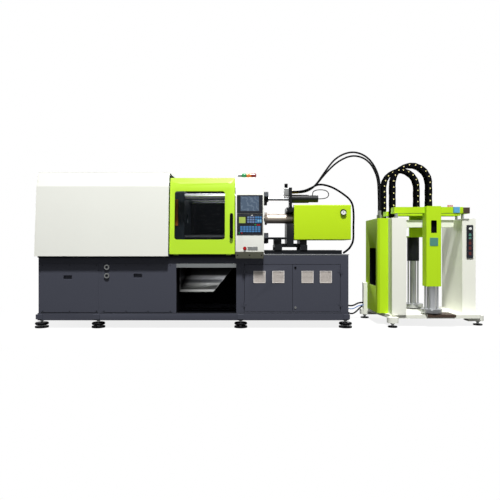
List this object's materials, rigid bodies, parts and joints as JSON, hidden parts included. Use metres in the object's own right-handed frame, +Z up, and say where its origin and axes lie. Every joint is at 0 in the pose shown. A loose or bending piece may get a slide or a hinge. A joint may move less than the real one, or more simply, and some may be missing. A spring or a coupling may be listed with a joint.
{
  "type": "injection moulding machine",
  "caption": "Horizontal injection moulding machine for liquid silicone, with sliding guard gates, an injection carriage and a two-drum dosing unit on lifts beside it.",
  "frame": {"origin": "on the floor under the middle of the whole set", "axes": "+X from the clamp end towards the dosing unit, +Y from the operator's side to the back, +Z up"},
  "size_m": [5.734, 1.387, 2.2921],
  "materials": {
    "white": "semi-gloss",
    "lime": "semi-gloss",
    "slate": "semi-gloss",
    "black": "matte",
    "steel": "brushed",
    "cast": "painted",
    "chrome": "polished",
    "brass": "satin",
    "clear": "polished",
    "screen": "gloss",
    "red": "gloss",
    "green": "gloss",
    "grey_plastic": "satin",
    "hose": "satin",
    "blue_hose": "satin"
  },
  "bodies": {
    "base": {"bed_frame": "slate", "bed_panels": "slate", "levelling_feet": "steel", "drop_chute": "steel", "cover_front": "white", "cover_rear": "white", "cover_hood": "white", "guard_columns": "white", "hmi_panels": "grey_plastic", "screen": "screen", "signal_light": "green", "fixed_platen": "cast", "clamp_block": "cast", "tie_bars": "chrome", "slide_rails": "steel", "traverse_rods": "chrome", "hose_ports": "steel", "dosing_base": "slate", "dosing_cabinet": "lime", "dosing_frame": "white", "control_strip": "grey_plastic", "chain_front": "black", "chain_rear": "black", "feed_hose_upper": "hose", "feed_hose_lower": "hose", "conduit": "hose", "floor_cable_upper": "hose", "floor_cable_lower": "hose", "floor_cable_blue": "blue_hose"},
    "gate_front": {"gate_front": "lime", "gate_front_window": "clear", "gate_front_handle": "black"},
    "gate_rear": {"gate_rear": "lime", "gate_rear_window": "clear"},
    "platen": {"moving_platen": "cast", "clamp_ram": "chrome"},
    "ejector": {"ejector_rod": "steel"},
    "carriage": {"carriage": "cast", "barrel": "steel", "injection_housing": "lime", "traverse_cylinder": "steel", "hose_fittings": "brass", "gauge": "black", "signal_lead": "hose"},
    "needle": {"gauge_needle": "black"},
    "door_left": {"door_left": "slate"},
    "door_right": {"door_right": "slate"},
    "lock_upper": {"lock_upper": "steel"},
    "lock_lower": {"lock_lower": "steel"},
    "e_stop": {"e_stop": "red"},
    "button_start": {"button_start": "green"},
    "button_stop": {"button_stop": "red"},
    "lift_front": {"front_beam": "lime", "front_pump": "steel"},
    "lift_rear": {"rear_beam": "lime", "rear_pump": "steel"},
    "strip_knob": {"strip_knob": "white"},
    "strip_green": {"strip_green": "green"},
    "strip_red": {"strip_red": "red"}
  },
  "joints": [
    {"name": "gate_front_slide", "type": "slide", "parent": "base", "child": "gate_front", "axis": [-1, 0, 0], "range_m": [0, 0.7]},
    {"name": "gate_rear_slide", "type": "slide", "parent": "base", "child": "gate_rear", "axis": [-1, 0, 0], "range_m": [0, 0.7]},
    {"name": "platen_slide", "type": "slide", "parent": "base", "child": "platen", "axis": [1, 0, 0], "range_m": [0, 0.45]},
    {"name": "ejector_slide", "type": "slide", "parent": "platen", "child": "ejector", "axis": [1, 0, 0], "range_m": [0, 0.1]},
    {"name": "carriage_slide", "type": "slide", "parent": "base", "child": "carriage", "axis": [1, 0, 0], "range_m": [0, 0.25], "deforming": ["feed_hose_upper", "feed_hose_lower", "conduit"]},
    {"name": "needle_turn", "type": "hinge", "parent": "carriage", "child": "needle", "pos_m": [1.057, -0.2465, 1.468], "axis": [0, 1, 0], "range_deg": [0, 270]},
    {"name": "door_left_hinge", "type": "hinge", "parent": "base", "child": "door_left", "pos_m": [-0.235, -0.5165, 0.299], "axis": [0, 0, -1], "range_deg": [0, 110]},
    {"name": "door_right_hinge", "type": "hinge", "parent": "base", "child": "door_right", "pos_m": [0.968, -0.5165, 0.299], "axis": [0, 0, 1], "range_deg": [0, 110]},
    {"name": "lock_upper_turn", "type": "hinge", "parent": "door_right", "child": "lock_upper", "pos_m": [0.404, -0.5065, 0.754], "axis": [0, -1, 0], "range_deg": [0, 90]},
    {"name": "lock_lower_turn", "type": "hinge", "parent": "door_right", "child": "lock_lower", "pos_m": [0.404, -0.5065, 0.255], "axis": [0, -1, 0], "range_deg": [0, 90]},
    {"name": "e_stop_press", "type": "slide", "parent": "base", "child": "e_stop", "axis": [0, 1, 0], "range_m": [0, 0.006], "stiffness_N_per_m": 800},
    {"name": "button_start_press", "type": "slide", "parent": "base", "child": "button_start", "axis": [0, 1, 0], "range_m": [0, 0.003], "stiffness_N_per_m": 300},
    {"name": "button_stop_press", "type": "slide", "parent": "base", "child": "button_stop", "axis": [0, 1, 0], "range_m": [0, 0.003], "stiffness_N_per_m": 300},
    {"name": "lift_front_slide", "type": "slide", "parent": "base", "child": "lift_front", "axis": [0, 0, 1], "range_m": [0, 0.6], "deforming": ["chain_front"]},
    {"name": "lift_rear_slide", "type": "slide", "parent": "base", "child": "lift_rear", "axis": [0, 0, 1], "range_m": [0, 0.6], "deforming": ["chain_rear"]},
    {"name": "strip_knob_turn", "type": "hinge", "parent": "base", "child": "strip_knob", "pos_m": [2.706, -0.2485, 1.25], "axis": [0, 1, 0], "range_deg": [0, 90]},
    {"name": "strip_green_press", "type": "slide", "parent": "base", "child": "strip_green", "axis": [0, 1, 0], "range_m": [0, 0.003], "stiffness_N_per_m": 300},
    {"name": "strip_red_press", "type": "slide", "parent": "base", "child": "strip_red", "axis": [0, 1, 0], "range_m": [0, 0.003], "stiffness_N_per_m": 300}
  ]
}
